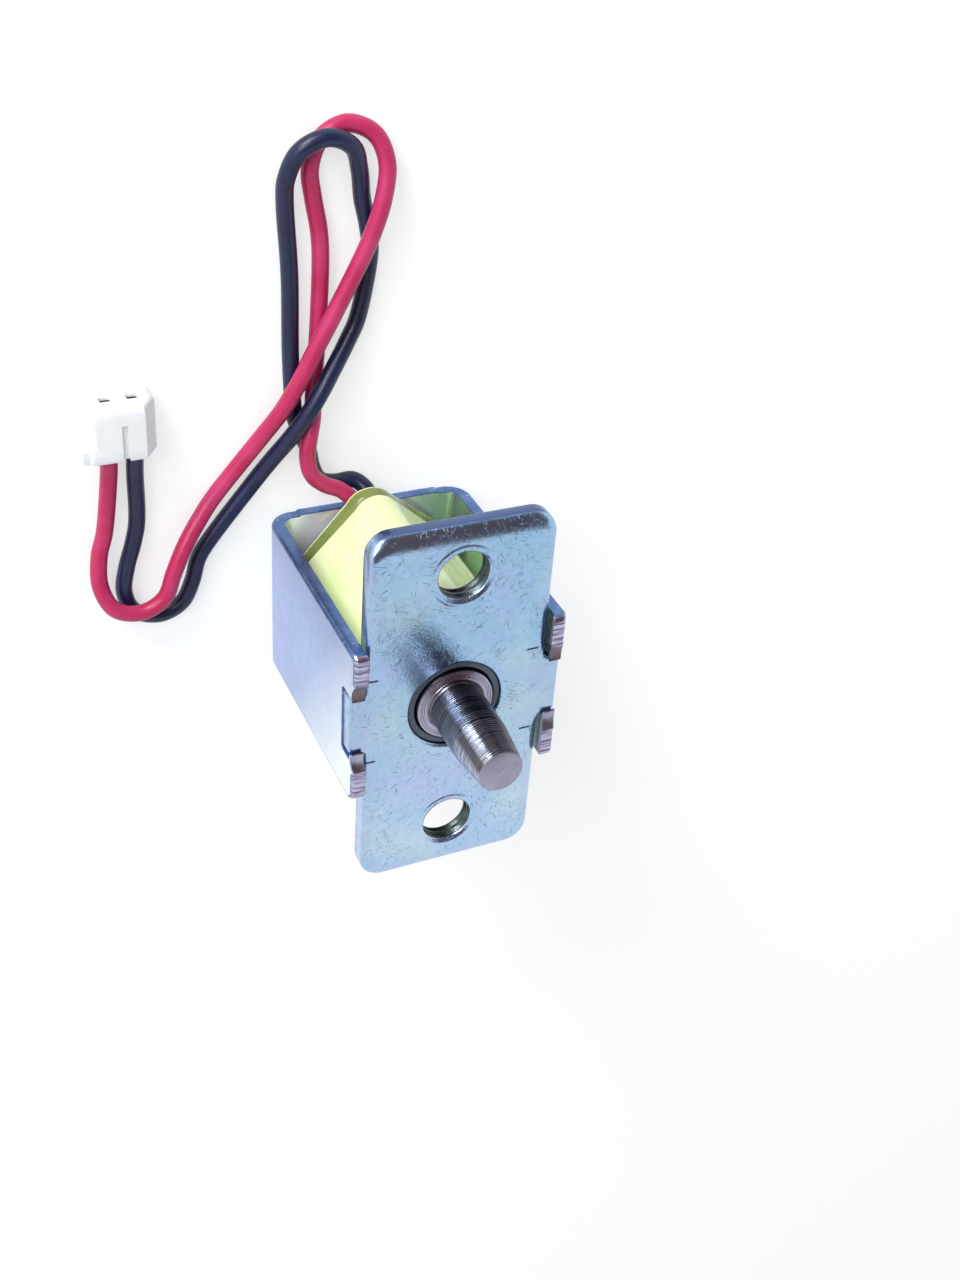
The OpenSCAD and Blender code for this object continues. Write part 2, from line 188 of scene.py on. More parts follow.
BLACK_ROUTE = [
    (-0.2, 0.75, 1.35), (-0.5, 1.4, 0.6), (-1.15, 1.8, 0.1), (-2.2, 1.75, 0), (-3.2, 2.1, 0), (-3.7, 3.1, 0),
    (-3.95, 4.3, 0), (-4.48, 5.6, 0), (-4.85, 7, 0), (-5.05, 10.6, 0), (-5.1, 15.4, 0), (-5.4, 19.6, 0.1),
    (-5.4, 21.3, 0.5), (-4.8, 22.75, 0.95), (-3.35, 23.4, 1.1), (-1.9, 22.75, 0.9), (-1.3, 21.3, 0.45),
    (-0.95, 19.5, 0.05), (-0.55, 17.8, 0), (-0.4, 16, 0), (-1, 12.7, 0.1), (-1.75, 11.2, 0.35),
    (-2.7, 9.85, 0.8), (-3.6, 8.6, 1.2), (-4.5, 7.25, 1.3), (-5.4, 5.8, 1), (-6.35, 4.2, 0.4),
    (-7.5, 2.5, 0.05), (-9.95, -0.6, 0), (-10.85, -2, 0), (-11.3, -3.6, 0), (-12, -5, 0), (-13.4, -5.6, 0),
    (-14.9, -5, 0), (-15.45, -3.5, 0), (-15.2, -1.8, 0), (-14.7, -0.1, 0), (-14.4, 1.6, 0),
    (-14.45, 4.7, 0.4),
]

# Connector
ENTRY_X = -15.2
ENTRY_Y = 11.7
ENTRY_DEPTH = 0.8
ENTRY_R = 0.55
WAY_Z = 1.3
WAY_HALF = 0.75
CAVITY_HALF = 0.5
MOUTH_HALF = 0.3
HOUSING_HALF_W = 1.95
HOUSING_L = 3.4
HOUSING_H = 2.6
HOUSING_EDGE = 0.3
HOUSING_ROUND = 0.45
HOUSING_END_L = 0.55
HOUSING_END_D = 0.4
WING_OUT = 0.4
WING_L = 0.8
WING_BOTTOM = 1.1
BEVEL_W = 0.8
BEVEL_D = 1.1
GUIDE_HALF = 0.18
GUIDE_DEPTH = 0.3
GUIDE_L = 2.2


# Camera and leads

def make_camera():
    data = bpy.data.cameras.new("photo_camera")
    data.lens = CAMERA_LENS
    data.sensor_width = CAMERA_SENSOR
    data.clip_start = MM
    camera = bpy.data.objects.new("photo_camera", data)
    scene.collection.objects.link(camera)
    back = CAMERA_RIGHT.cross(CAMERA_UP)
    axes = Matrix((CAMERA_RIGHT, CAMERA_UP, back)).transposed().to_4x4()
    camera.matrix_world = Matrix.Translation(CAMERA_PLACE * MM) @ axes
    scene.camera = camera


def lead_points(start, route, side):
    laid = [(x, WALL_TOP + y, LEAD_D / 2 + LEAD_D * lift) for x, y, lift in route]
    x = ENTRY_X + side * WAY_HALF
    return start + laid + [(x, ENTRY_Y, WAY_Z), (x, ENTRY_Y + ENTRY_DEPTH, WAY_Z)]


def smooth_line(points, steps=6):
    """Points of a smooth curve through the given ones, never lower than a lead lying on the floor."""
    p = [Vector(q) for q in points]
    p = [2 * p[0] - p[1], *p, 2 * p[-1] - p[-2]]
    line = []
    for a, b, c, d in zip(p, p[1:], p[2:], p[3:]):
        square = 2 * a - 5 * b + 4 * c - d
        cube = 3 * b - a - 3 * c + d
        for i in range(steps):
            t = i / steps
            q = 0.5 * (2 * b + (c - a) * t + square * t**2 + cube * t**3)
            q.z = max(q.z, LEAD_D / 2)
            line.append(q)
    return [*line, p[-2]]


def make_lead(name, node, points, material):
    data = bpy.data.curves.new(name, "CURVE")
    data.dimensions = "3D"
    data.bevel_depth = LEAD_D / 2 * MM
    data.bevel_resolution = 6
    data.use_fill_caps = True
    line = smooth_line(points)
    spline = data.splines.new("POLY")
    spline.points.add(len(line) - 1)
    for knot, point in zip(spline.points, line):
        knot.co = (*(point * MM), 1)
    lead = bpy.data.objects.new(name, data)
    place(lead, node, [material])
    return lead


# Meshes

def place(piece, node, materials, body="stator"):
    """Puts a piece in the scene in place of its CAD node."""
    scene.collection.objects.link(piece)
    for material in materials:
        piece.data.materials.append(material)
    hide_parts(node)
    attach(piece, body)


def finish_mesh(name, mesh, sharp=35):
    """Object from a bmesh in millimetres, smooth except where it turns by more than the sharp angle."""
    bmesh.ops.remove_doubles(mesh, verts=mesh.verts, dist=0.0002)
    bmesh.ops.recalc_face_normals(mesh, faces=mesh.faces)
    mesh.normal_update()
    for face in mesh.faces:
        face.smooth = True
    for edge in mesh.edges:
        if edge.calc_face_angle(0) > math.radians(sharp):
            edge.smooth = False
    bmesh.ops.scale(mesh, vec=(MM, MM, MM), verts=mesh.verts)
    data = bpy.data.meshes.new(name)
    mesh.to_mesh(data)
    mesh.free()
    return bpy.data.objects.new(name, data)


def bridge(mesh, rings, side=0):
    """Faces between successive rings of vertices."""
    for low, high in zip(rings, rings[1:]):
        for i in range(len(low)):
            j = (i + 1) % len(low)
            mesh.faces.new((low[i], low[j], high[j], high[i])).material_index = side


def shell(mesh, loops, side=0, caps=(0, 0)):
    """Closed solid between stacked outlines. Each loop is a list of rings of points, the outer loop first and
    the holes after it; the first and last rings are closed by flat faces."""
    rows = [[[mesh.verts.new(p) for p in ring] for ring in loop] for loop in loops]
    for loop in rows:
        bridge(mesh, loop, side)
    for end, cap in zip((0, -1), caps):
        rings = [loop[end] for loop in rows]
        corners = [v for ring in rings for v in ring]
        for triangle in tessellate_polygon([[v.co for v in ring] for ring in rings]):
            mesh.faces.new([corners[k] for k in triangle]).material_index = cap
        for ring in rings:
            for a, b in zip(ring, ring[1:] + ring[:1]):
                mesh.edges.get((a, b)).smooth = False


def lathe(name, profile, segments=96, sharp=35):
    """Solid of revolution about Z from a profile of (radius, z), closed at the axis or into a ring."""
    mesh = bmesh.new()
    turns = [2 * math.pi * k / segments for k in range(segments)]
    rings = []
    for r, z in profile:
        if r == 0:
            rings.append([mesh.verts.new((0, 0, z))])
        else:
            rings.append([mesh.verts.new((r * math.cos(a), r * math.sin(a), z)) for a in turns])
    if len(rings[0]) > 1:
        rings.append(rings[0])
    for low, high in zip(rings, rings[1:]):
        for i in range(segments):
            j = (i + 1) % segments
            corners = [low[i % len(low)], low[j % len(low)], high[j % len(high)], high[i % len(high)]]
            mesh.faces.new(list(dict.fromkeys(corners)))
    return finish_mesh(name, mesh, sharp)


def arc(x, y, r, start, end, steps=6):
    turns = [math.radians(start + (end - start) * k / steps) for k in range(steps + 1)]
    return [(x + r * math.cos(a), y + r * math.sin(a)) for a in turns]


def ring_of(x, y, r, count=96):
    """A hole's outline, with the material to the left of travel."""
    turns = [2 * math.pi * k / count for k in range(count)]
    return [(x + r * math.cos(a), y - r * math.sin(a)) for a in turns]


def inward(points, amounts):
    """The points of an outline moved into the material, which lies to the left of travel."""
    moved = []
    for i, p in enumerate(points):
        p = Vector(p)
        a = (p - Vector(points[i - 1])).normalized()
        b = (Vector(points[(i + 1) % len(points)]) - p).normalized()
        lefts = Vector((-a.y, a.x)), Vector((-b.y, b.x))
        moved.append(p + (lefts[0] + lefts[1]) * amounts[i] / max(1 + lefts[0].dot(lefts[1]), 0.3))
    return moved


def rolled_rings(points, back, front, break_r, roll_w, roll_d, weights=None, steps=7):
    """Rings of an edge that is broken at the back and rolled over at the front, wider where its weight is."""
    weights = weights or [1] * len(points)
    rings = []
    for inset, z in ((break_r, back), (break_r * 0.3, back + break_r * 0.3), (0, back + break_r)):
        rings.append([(*p, z) for p in inward(points, [inset] * len(points))])
    for k in range(steps + 1):
        turn = math.pi / 2 * k / steps
        moved = inward(points, [roll_w * w * (1 - math.cos(turn)) for w in weights])
        rings.append([(*p, front - roll_d * w * (1 - math.sin(turn))) for p, w in zip(moved, weights)])
    return rings


# Frame

def tab_outline():
    """Half a slot and the tab beside it as (z, y), from the slot's middle to the arm's long edge."""
    slot = EAR_HALF + SLOT_GAP
    slot_floor = FRAME_DEPTH - SLOT_DEPTH
    lip = slot - LIP_OVER
    seat = FRAME_DEPTH + LIP_LIFT
    low = FRAME_DEPTH + LIP_LAND
    outline = [(slot_floor, 0), (slot_floor, slot - 2 * SLOT_CORNER)]
    outline += arc(slot_floor + 2 * SLOT_CORNER, slot - SLOT_CORNER, SLOT_CORNER, 180, 90, 3)
    outline += [(seat, slot), (seat, lip + LIP_BREAK), (seat + LIP_BREAK, lip), (low - LIP_BREAK, lip)]
    steps = 10
    for k in range(steps + 1):
        t = k / steps
        z = low + (STAKE_TOP - low) * t - 4 * STAKE_HOLLOW * t * (1 - t)
        outline.append((z, lip + LIP_BREAK + (STAKE_L - 2 * LIP_BREAK) * t))
    outline.append((TAB_END - 0.01, lip + STAKE_L))
    corner = ARM_HALF - TAB_CORNER
    for k in reversed(range(TEAR_COUNT)):
        tear = TEAR_DEPTH * (0.5 + 0.5 * math.sin(7.3 * k * k))
        outline.append((TAB_END - tear, corner - 0.12 - TEAR_PITCH * k))
    outline.append((TAB_END, corner - 0.05))
    return outline + arc(TAB_END - TAB_CORNER, corner, TAB_CORNER, 0, 90, 8)[1:]


def bent(point):
    """A point of the flat sheet (u, y, depth) put into the bent frame, with the tabs leaning inwards."""
    u, y, depth = point
    side = math.copysign(1, u)
    past = abs(u) - FLAT_HALF
    if past <= 0:
        return (u, y, depth)
    if past >= CURL:
        z = BEND_R + past - CURL
        rise = max(0, z - FRAME_DEPTH) / (TAB_END - FRAME_DEPTH)
        return (side * (FRAME_HALF_W - depth - TAB_LEAN * rise), y, z)
    turn = past / BEND_R
    r = BEND_R - depth
    return (side * (FLAT_HALF + r * math.sin(turn)), y, BEND_R - r * math.cos(turn))


def make_frame(materials):
    shift = FLAT_HALF + CURL - BEND_R
    step = WALL_TOP - ARM_HALF
    quarter = [(z + shift, y) for z, y in tab_outline()]
    quarter += [(FLAT_HALF + CURL, ARM_HALF), (FLAT_HALF, ARM_HALF)]
    quarter += [(WALL_HALF_W, ARM_HALF), (WALL_HALF_W - step, WALL_TOP)]
    half = quarter + [(-u, y) for u, y in reversed(quarter[1:])]
    outline = half + [(u, -y) for u, y in reversed(half[1:-1])]
    slot_start = shift + FRAME_DEPTH - SLOT_DEPTH - SLOT_CORNER
    weights = [SLOT_ROLL if abs(u) > slot_start and abs(y) < EAR_HALF + 1 else 1 for u, y in outline]
    edge = rolled_rings(outline, -SHEET_T, 0, SHEET_BREAK, SHEET_ROLL_W, SHEET_ROLL_D, weights, 6)
    hole, mouth = ring_of(0, 0, CORE_HOLE_R, 48), ring_of(0, 0, CORE_MOUTH_R, 48)
    bore = [[(*p, z) for p in ring] for ring, z in ((hole, -SHEET_T), (hole, -SHEET_T / 2), (mouth, 0))]
    mesh = bmesh.new()
    shell(mesh, [edge, bore], EDGE, (INSIDE, OUTSIDE))
    cuts = [FLAT_HALF + CURL * k / 10 for k in range(11)]
    cuts += [shift + FRAME_DEPTH - TAB_FOOT, shift + FRAME_DEPTH]
    for cut in cuts + [-u for u in cuts]:
        geometry = mesh.verts[:] + mesh.edges[:] + mesh.faces[:]
        bmesh.ops.bisect_plane(mesh, geom=geometry, plane_co=(cut, 0, 0), plane_no=(1, 0, 0))
    for v in mesh.verts:
        v.co = bent((v.co.x, v.co.y, -v.co.z))
    mesh.normal_update()
    stake_end = EAR_HALF + SLOT_GAP - LIP_OVER + STAKE_L
    for face in mesh.faces:
        middle = face.calc_center_median()
        if face.material_index == EDGE and middle.z > FRAME_DEPTH + 0.05 and abs(face.normal.z) > 0.5:
            face.material_index = STAKED if abs(middle.y) < stake_end - 0.02 else TORN
    place(finish_mesh("frame_sheet", mesh), "u_frame", materials)


# Plate

def plate_outline():
    """Outline of the plate with its two ears, and how wide each point's edge is rolled."""
    ear, ear_end = EAR_HALF - EAR_SLACK, PLATE_HALF_W + EAR_L
    quarter = [(ear_end, ear - EAR_CUT - 0.01), (ear_end - EAR_CUT, ear)]
    quarter += [(PLATE_HALF_W + EAR_ROOT, ear), (PLATE_HALF_W, ear + EAR_ROOT + 0.01)]
    quarter += [(PLATE_HALF_W, y) for y in (EAR_HALF + 0.8, 5, 8)]
    quarter += arc(PLATE_HALF_W - PLATE_CORNER, PLATE_HALF_L - PLATE_CORNER, PLATE_CORNER, 0, 90, 12)
    half = quarter + [(-x, y) for x, y in reversed(quarter)]
    points = half + [(-x, -y) for x, y in half]
    weights = []
    for x, y in points:
        top = min(max((y - PLATE_HALF_L + PLATE_CORNER) / PLATE_CORNER, 0), 1)
        side = LEFT_ROLL if x < 0 else RIGHT_ROLL
        weights.append(EAR_ROLL if abs(y) < EAR_HALF + 0.5 else side + (1 - side) * top)
    return points, weights


def thread_rings(y):
    """Wall of a tapped hole: a helical groove, a chamfer at its back, a rounding and a rim at its front."""
    count, rows = 96, 44
    low, high = PLATE_BACK, FRAME_DEPTH
    rings = []
    for row in range(rows + 1):
        z = low + (high - low) * row / rows
        from_front = high - z
        fade = min(1, (z - low) / THREAD_START, from_front / THREAD_ROUND)
        rounded = THREAD_ROUND - math.sqrt(THREAD_ROUND**2 - max(0, THREAD_ROUND - from_front)**2)
        opened = max(rounded, THREAD_CHAMFER - (z - low))
        ring = []
        for k, (x, py) in enumerate(ring_of(0, 0, 1, count)):
            phase = (z / THREAD_PITCH + k / count) % 1
            groove = THREAD_DEPTH * max(0, 1 - abs(phase - 0.5) / THREAD_SHARE) * fade
            r = MOUNT_R + max(groove, opened)
            ring.append((r * x, y + r * py, z))
        rings.append(ring)
    for out, lift in THREAD_RIM:
        rings.append([(x, py, high + lift) for x, py in ring_of(0, y, MOUNT_R + out, count)])
    return rings


def make_plate(materials):
    points, weights = plate_outline()
    centre = ring_of(0, 0, CENTRE_R)
    loops = [
        rolled_rings(points, PLATE_BACK, FRAME_DEPTH, PLATE_BREAK, PLATE_ROLL_W, PLATE_ROLL_D, weights, 14),
        rolled_rings(centre, PLATE_BACK, FRAME_DEPTH, CENTRE_BREAK, CENTRE_ROLL_W, CENTRE_ROLL_D, steps=5),
        thread_rings(MOUNT_Y),
        thread_rings(-MOUNT_Y),
    ]
    mesh = bmesh.new()
    shell(mesh, loops)
    thread_r, thread_front = MOUNT_R + 0.22, FRAME_DEPTH - 0.14
    for face in mesh.faces:
        x, y, z = face.calc_center_median()
        if math.hypot(x, abs(y) - MOUNT_Y) < thread_r and z < thread_front:
            face.material_index = 1
    place(finish_mesh("plate_sheet", mesh), "front_plate", materials)


# Turned parts

def turned(a, b, pitch, depth):
    """Profile from one (radius, z) point to another: flats with a turning mark of uneven depth after each."""
    length = math.hypot(b[0] - a[0], b[1] - a[1])
    count = max(1, round(length / pitch))
    dr, dz = (b[0] - a[0]) / length, (b[1] - a[1]) / length
    line = []
    for k in range(count):
        sink = depth * (0.8 + 0.6 * noise.noise(Vector((1.37 * k, 0.71 * k, a[0]))))
        for part, low in ((0, 0), (0.7, 0), (0.85, sink)):
            t = length * (k + part) / count
            line.append((a[0] + dr * t - dz * low, a[1] + dz * t + dr * low))
    return [*line, b]


def hollow_foot(shoulder):
    """Flat shoulder and the fillet that leads up to the rod, both ringed by the tool."""
    outer, inner = PLUNGER_R - PLUNGER_EDGE, ROD_R + FOOT_R
    line = []
    steps = 9
    for k in range(steps + 1):
        sink = SHOULDER_MARK if k % 3 == 1 else 0
        line.append((outer + (inner - outer) * k / steps, shoulder - sink))
    steps = 12
    for k in range(1, steps + 1):
        turn = math.radians(270 - 90 * k / steps)
        r = FOOT_R + (FOOT_MARK if k % 3 == 1 else 0)
        line.append((inner + r * math.cos(turn), shoulder + FOOT_R + r * math.sin(turn)))
    return line


def make_plunger(materials):
    shoulder, taper = FRAME_DEPTH, ROD_TIP - TAPER_L
    body_rear = (PLUNGER_R, PLUNGER_REAR + 2 * PLUNGER_EDGE)
    body_front = (PLUNGER_R, shoulder - PLUNGER_EDGE)
    profile = [(0, PLUNGER_REAR), (PLUNGER_R - PLUNGER_EDGE, PLUNGER_REAR)]
    profile += [(PLUNGER_R, PLUNGER_REAR + PLUNGER_EDGE)]
    profile += turned(body_rear, body_front, PLUNGER_PITCH, PLUNGER_MARK)
    profile += [(PLUNGER_R - 0.05, shoulder - 0.04), *hollow_foot(shoulder)]
    profile += turned((ROD_R, shoulder + FOOT_R), (ROD_R, taper), ROD_PITCH, ROD_MARK)
    profile += turned((ROD_R, taper + 0.02), (ROD_TIP_R, ROD_TIP - TIP_EDGE), ROD_PITCH, ROD_MARK)
    profile += [(ROD_TIP_R - TIP_EDGE / 4, ROD_TIP - TIP_EDGE / 3), (ROD_TIP_R - TIP_EDGE, ROD_TIP)]
    profile += [(0.3, ROD_TIP), (TIP_PIT_R, ROD_TIP), (TIP_PIT_R - 0.02, ROD_TIP - 0.03)]
    profile += [(0, ROD_TIP - TIP_PIT_D)]
    piece = lathe("plunger_turned", profile, 128, 40)
    for face in piece.data.polygons:
        if face.center.z > (ROD_TIP - 0.02) * MM:
            face.material_index = 1
        elif abs(face.center.z - shoulder * MM) < 0.04 * MM:
            face.material_index = 2
    place(piece, "plunger", materials, "armature")


def flange_rim(rear, front):
    """Rounded rim of a flange of the bobbin, from its rear face to its front face."""
    r = FLANGE_R - FLANGE_ROUND
    rim = arc(r, rear + FLANGE_ROUND, FLANGE_ROUND, 270, 360, 4)
    return rim + arc(r, front - FLANGE_ROUND, FLANGE_ROUND, 0, 90, 4)


def make_bobbin(materials):
    neck_round_z = NECK_END - NECK_ROUND
    profile = [(BORE_R + NECK_ROUND, SHEET_T), *flange_rim(SHEET_T, COIL_REAR), (NECK_R, COIL_REAR)]
    profile += [(NECK_R, COIL_FRONT), *flange_rim(COIL_FRONT, PLATE_BACK), (NECK_R, PLATE_BACK)]
    profile += [(NECK_R, neck_round_z), *arc(NECK_R - NECK_ROUND, neck_round_z, NECK_ROUND, 0, 90, 4)]
    profile += arc(BORE_R + NECK_ROUND, neck_round_z, NECK_ROUND, 90, 180, 4)
    profile.append((BORE_R, SHEET_T + NECK_ROUND))
    place(lathe("bobbin_moulded", profile), "bobbin", materials)


def make_coil(materials):
    pitch, base = 2 * WIRE_R, FLANGE_R - WIRE_R
    profile = [(NECK_R, COIL_REAR), (base, COIL_REAR)]
    for k in range(round((COIL_FRONT - COIL_REAR) / pitch)):
        z = COIL_REAR + pitch * (k + 0.5)
        for a in (0.5, 1.1, 1.57, 2.04, 2.64):
            profile.append((base + WIRE_R * math.sin(a), z - WIRE_R * math.cos(a)))
    profile += [(base, COIL_FRONT), (NECK_R, COIL_FRONT)]
    place(lathe("coil_wound", profile, 96, 80), "coil_winding", materials)


# Tape

def sweep(x, y, r, start, turn, steps):
    """Points along an arc, as vectors, from one angle in radians through a turn."""
    angles = [start + turn * k / steps for k in range(steps + 1)]
    return [Vector((x + r * math.cos(a), y + r * math.sin(a))) for a in angles]


def wrap_ring(round_r, over_r, lean, count=220):
    """Outline of a tape pulled tight round the winding and the bump, from the bump's middle onwards."""
    x, y = BUMP_X + lean, BUMP_Y
    middle, spread = math.atan2(y, x), math.acos((round_r - over_r) / math.hypot(x, y))
    line = sweep(x, y, over_r, middle, spread, 16)
    line += sweep(0, 0, round_r, middle + spread, 2 * (math.pi - spread), 160)
    line += sweep(x, y, over_r, middle - spread, spread, 16)
    marks = [0]
    for a, b in zip(line, line[1:]):
        marks.append(marks[-1] + (b - a).length)
    ring, i = [], 0
    for k in range(count):
        wanted = marks[-1] * k / count
        while marks[i + 1] < wanted:
            i += 1
        ring.append(line[i].lerp(line[i + 1], (wanted - marks[i]) / (marks[i + 1] - marks[i])))
    return ring


def tape_offset(p, around, z, flare):
    """How far the film lies out from its smooth wrap: a clearance, creases, and the lap at its end."""
    turn = 2 * math.pi * around
    crease = CREASE_D * noise.noise(Vector((9 * math.cos(turn), 9 * math.sin(turn), 0.16 * z)))
    crease += FINE_CREASE_D * noise.noise(Vector((p.x * 0.9, p.y * 0.9, z * 0.9)))
    lap = TAPE_CLEAR if SEAM_START < around + SEAM_SLANT * z < SEAM_END else 0
    return 0.5 * min(0, crease - 0.03) + lap * (1 - flare) - TAPE_CLEAR


def make_tape(materials):
    body_rows, margin_rows = 44, 8
    rows = []
    for k in range(margin_rows + 1):
        t = k / margin_rows
        rows.append((COLLAR_Z + (COLLAR_FRONT - COLLAR_Z) * t, (1 - t)**0.45))
    for k in range(1, body_rows + 1):
        rows.append((COLLAR_FRONT + (WRAP_FRONT - COLLAR_FRONT) * k / body_rows, 0))
    mesh = bmesh.new()
    rings = []
    for z, flare in rows:
        held = min(1, (WRAP_FRONT - z) / (WRAP_FRONT - COLLAR_FRONT))
        round_r = WRAP_R + (COLLAR_R - WRAP_R) * flare
        over_r = BUMP_R + (COLLAR_BUMP_R - BUMP_R) * flare
        outline = wrap_ring(round_r, over_r, COLLAR_LEAN * flare)
        ring = []
        for k, p in enumerate(outline):
            around = k / len(outline)
            moved = p + p.normalized() * tape_offset(p, around, z, flare)
            beside = min(max((min(around, 1 - around) - DIP_START) / DIP_SPREAD, 0), 1)
            ring.append(mesh.verts.new((*moved, z - COLLAR_DIP * beside * held)))
        rings.append(ring)
    bridge(mesh, rings[:2])
    bridge(mesh, rings[1:margin_rows + 1], 2)
    bridge(mesh, rings[margin_rows:])
    piece = finish_mesh("tape_wrap", mesh, 50)
    place(piece, "outer_tape", materials)
    thick = piece.modifiers.new("film", "SOLIDIFY")
    thick.thickness = TAPE_T * MM
    thick.offset = -1
    thick.material_offset_rim = 1


# Connector

def housing_section(wing, guide):
    """Outline of the housing in X and Z, with its wing out and its guide slot down by the given amounts."""
    w, h, e = HOUSING_HALF_W, HOUSING_H, HOUSING_EDGE
    r = HOUSING_ROUND - 0.6 * wing
    points = [(w - e, 0), (w, e), (w, h - BEVEL_D), (w - BEVEL_W, h)]
    points += [(GUIDE_HALF, h), (GUIDE_HALF, h - guide), (-GUIDE_HALF, h - guide), (-GUIDE_HALF, h)]
    points += arc(r - w, h - r, r, 90, 180)
    points += [(-w - wing, h - r - 0.04), (-w - wing, h - WING_BOTTOM + 0.06), (-w, h - WING_BOTTOM)]
    points += [(-w, e), (e - w, 0)]
    return [(ENTRY_X + x, z) for x, z in points]


def way_rings(middle):
    """Wall of one way through the housing: round where the lead enters, square where the contact sits. Each
    station is the depth, the half width, and one where the way is square."""
    stations = [(0, 0.68, 0), (0.12, 0.57, 0), (ENTRY_DEPTH, ENTRY_R, 0)]
    stations += [(ENTRY_DEPTH + 0.04, CAVITY_HALF, 1), (HOUSING_L - 0.27, CAVITY_HALF, 1)]
    stations += [(HOUSING_L - 0.26, MOUTH_HALF, 1), (HOUSING_L - 0.1, MOUTH_HALF, 1)]
    stations.append((HOUSING_L, MOUTH_HALF + 0.08, 1))
    rings = []
    for depth, half, square in stations:
        ring = []
        for x, z in ring_of(0, 0, 1, 48):
            reach = half * (min(1 / max(abs(x), abs(z)), 1.3) if square else 1)
            ring.append((middle + reach * x, ENTRY_Y + depth, WAY_Z + reach * z))
        rings.append(ring)
    return rings


def make_housing(materials):
    stations = [(0, 0.14, WING_OUT, GUIDE_DEPTH), (0.04, 0.04, WING_OUT, GUIDE_DEPTH)]
    stations += [(0.14, 0, WING_OUT, GUIDE_DEPTH), (WING_L, 0, WING_OUT, GUIDE_DEPTH)]
    stations += [(WING_L + 0.1, 0, 0, GUIDE_DEPTH), (GUIDE_L, 0, 0, GUIDE_DEPTH), (GUIDE_L + 0.05, 0, 0, 0)]
    steps = 5
    for k in range(steps + 1):
        turn = math.pi / 2 * k / steps
        y = HOUSING_L - HOUSING_END_L + HOUSING_END_L * math.sin(turn)
        stations.append((y, HOUSING_END_D * (1 - math.cos(turn)), 0, 0))
    outer = []
    for y, inset, wing, guide in stations:
        points = housing_section(wing, guide)
        outer.append([(x, ENTRY_Y + y, z) for x, z in inward(points, [inset] * len(points))])
    mesh = bmesh.new()
    shell(mesh, [outer, way_rings(ENTRY_X - WAY_HALF), way_rings(ENTRY_X + WAY_HALF)])
    piece = finish_mesh("housing_moulded", mesh)
    place(piece, "connector_housing", materials)
    return piece


# Materials

def add_node(tree, kind, inputs, **settings):
    """A new node with its settings, and with each input linked to a socket or set to a value."""
    node = tree.nodes.new(kind)
    for key, value in settings.items():
        setattr(node, key, value)
    for key, value in inputs.items():
        if isinstance(value, bpy.types.NodeSocket):
            tree.links.new(value, node.inputs[key])
        else:
            node.inputs[key].default_value = value
    return node


class Paint:
    """A material in the making: each call adds one node and gives back its output."""

    def __init__(self, name):
        self.material = bpy.data.materials.new(name)
        self.material.use_nodes = True
        self.tree = self.material.node_tree
        self.shader = self.tree.nodes["Principled BSDF"]
        spot = self.add("ShaderNodeTexCoord", {}, "Object")
        self.mm = self.add("ShaderNodeVectorMath", {0: spot, 1: (1 / MM,) * 3}, operation="MULTIPLY")

    def add(self, kind, inputs, out=0, **settings):
        return add_node(self.tree, kind, inputs, **settings).outputs[out]

    def stretched(self, scale, turn=0.0):
        """Millimetre coordinates turned about Z and then scaled along each axis."""
        spot = self.mm
        if turn:
            inputs = {"Vector": spot, "Angle": math.radians(turn)}
            spot = self.add("ShaderNodeVectorRotate", inputs, rotation_type="Z_AXIS")
        return self.add("ShaderNodeVectorMath", {0: spot, 1: scale}, operation="MULTIPLY")

    def noise(self, vector, detail=2.0, distortion=0.0):
        inputs = {"Vector": vector, "Scale": 1.0, "Detail": detail, "Distortion": distortion}
        return self.add("ShaderNodeTexNoise", inputs)

    def even(self, scale, detail=3.0):
        """Noise that has the same scale along each axis."""
        return self.noise(self.stretched((scale,) * 3), detail)

    def math(self, operation, a, b=0.0):
        return self.add("ShaderNodeMath", {0: a, 1: b}, operation=operation)

    def step(self, value, low, high, start=0.0, end=1.0):
        inputs = {"Value": value, "From Min": low, "From Max": high, "To Min": start, "To Max": end}
        return self.add("ShaderNodeMapRange", inputs)

    def mix(self, amount, a, b, blend="MIX"):
        inputs = {0: amount}
        for key, colour in ((6, a), (7, b)):
            inputs[key] = colour if isinstance(colour, bpy.types.NodeSocket) else (*colour, 1)
        return self.add("ShaderNodeMix", inputs, 2, data_type="RGBA", blend_type=blend)

    def axis(self, name):
        return self.add("ShaderNodeSeparateXYZ", {0: self.mm}, name)

    def colour(self):
        """The base colour as it is so far."""
        return self.shader.inputs["Base Color"].links[0].from_socket

    def set(self, **inputs):
        for key, value in inputs.items():
            socket = self.shader.inputs[key.replace("_", " ")]
            if isinstance(value, bpy.types.NodeSocket):
                self.tree.links.new(value, socket)
            else:
                socket.default_value = (*value, 1) if isinstance(value, tuple) else value

    def bump(self, height, depth, strength=1.0):
        normal = self.add("ShaderNodeBump", {"Height": height, "Distance": depth * MM, "Strength": strength})
        self.set(Normal=normal)


def scratches(paint, sparse=0.66):
    """Mask of short hair scratches in several directions."""
    total = None
    for turn, length in ((17, 1.6), (68, 1.2), (-38, 1.4), (-80, 1.9)):
        lines = paint.noise(paint.stretched((length, 14, 3), turn), 1.0, 0.6)
        where = paint.noise(paint.stretched((0.5, 0.5, 0.5), turn + 31), 2.0)
        lines = paint.math("MULTIPLY", paint.step(lines, sparse, sparse + 0.05), paint.step(where, 0.48, 0.6))
        total = paint.math("MAXIMUM", total, lines) if total else lines
    return total


